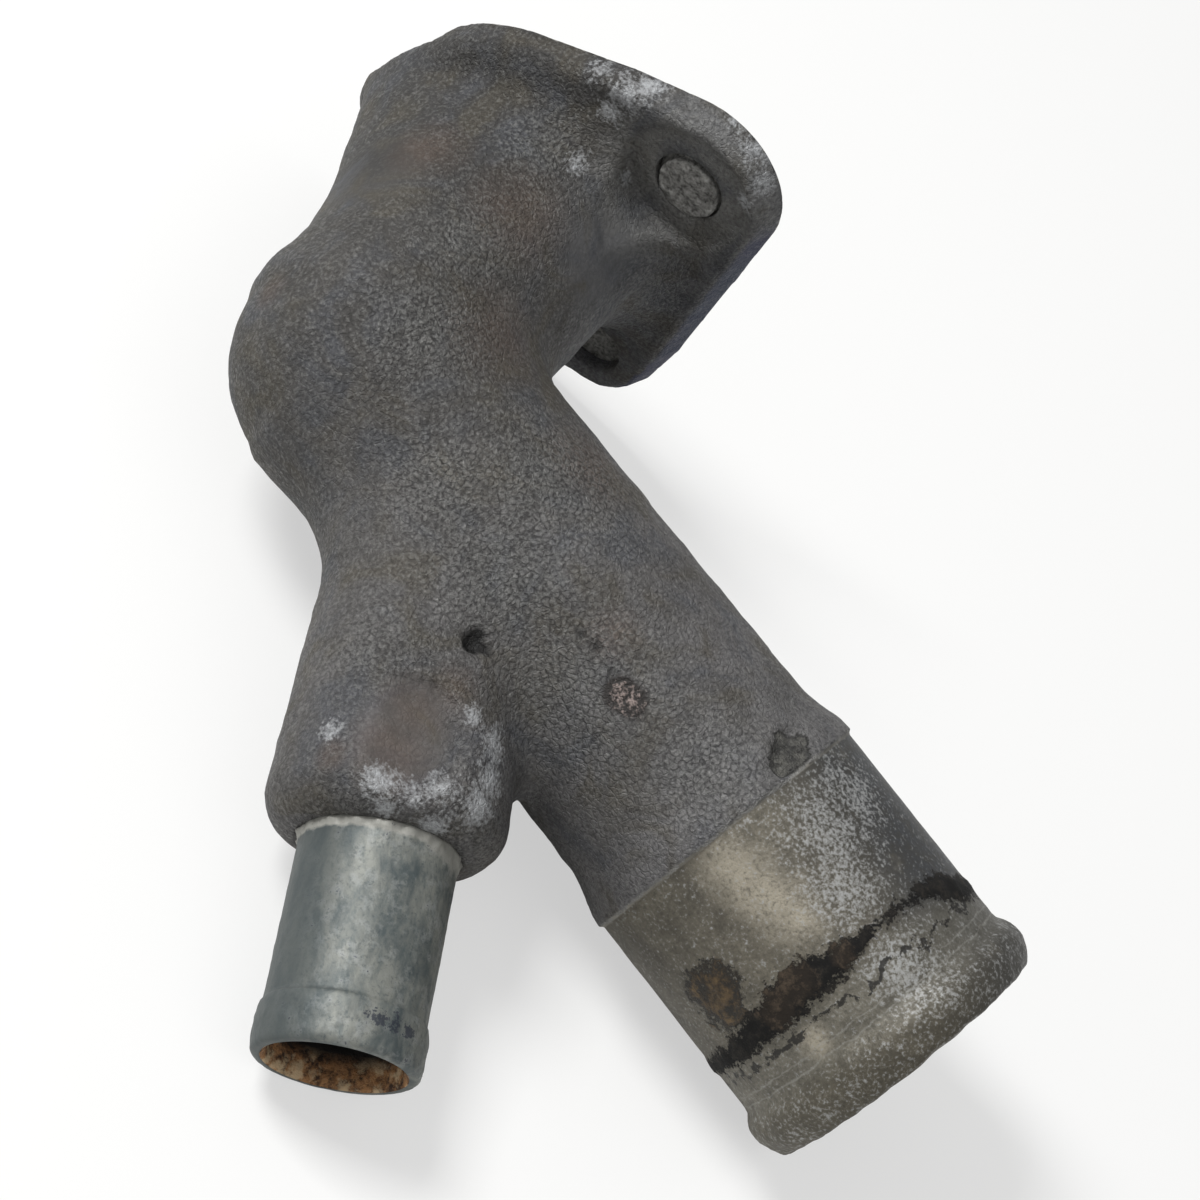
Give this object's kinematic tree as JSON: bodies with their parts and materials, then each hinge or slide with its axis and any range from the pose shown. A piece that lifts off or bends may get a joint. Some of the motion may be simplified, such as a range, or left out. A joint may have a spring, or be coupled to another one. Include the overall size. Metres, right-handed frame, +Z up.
{
  "type": "cast coolant outlet elbow",
  "caption": "Corroded cast aluminium coolant outlet elbow: a bolted flange, a beaded hose neck, and a side boss with a pressed-in steel heater tube.",
  "frame": {"origin": "centre of the coolant port at the flange's gasket face", "axes": "+Z up as the part lies on a level floor, +X along the main pipe towards the hose neck, tilted from it by about 2 degrees"},
  "size_m": [0.1454, 0.1141, 0.0672],
  "materials": {
    "cast_aluminium": "sand-cast, weathered dark grey with white oxide and rust stains; machined on the hose neck",
    "zinc_plated_steel": "zinc-plated, dulled blue-grey with white corrosion and a rusted mouth"
  },
  "bodies": {
    "root": {"cast_body": "cast_aluminium", "heater_tube": "zinc_plated_steel"}
  },
  "joints": []
}
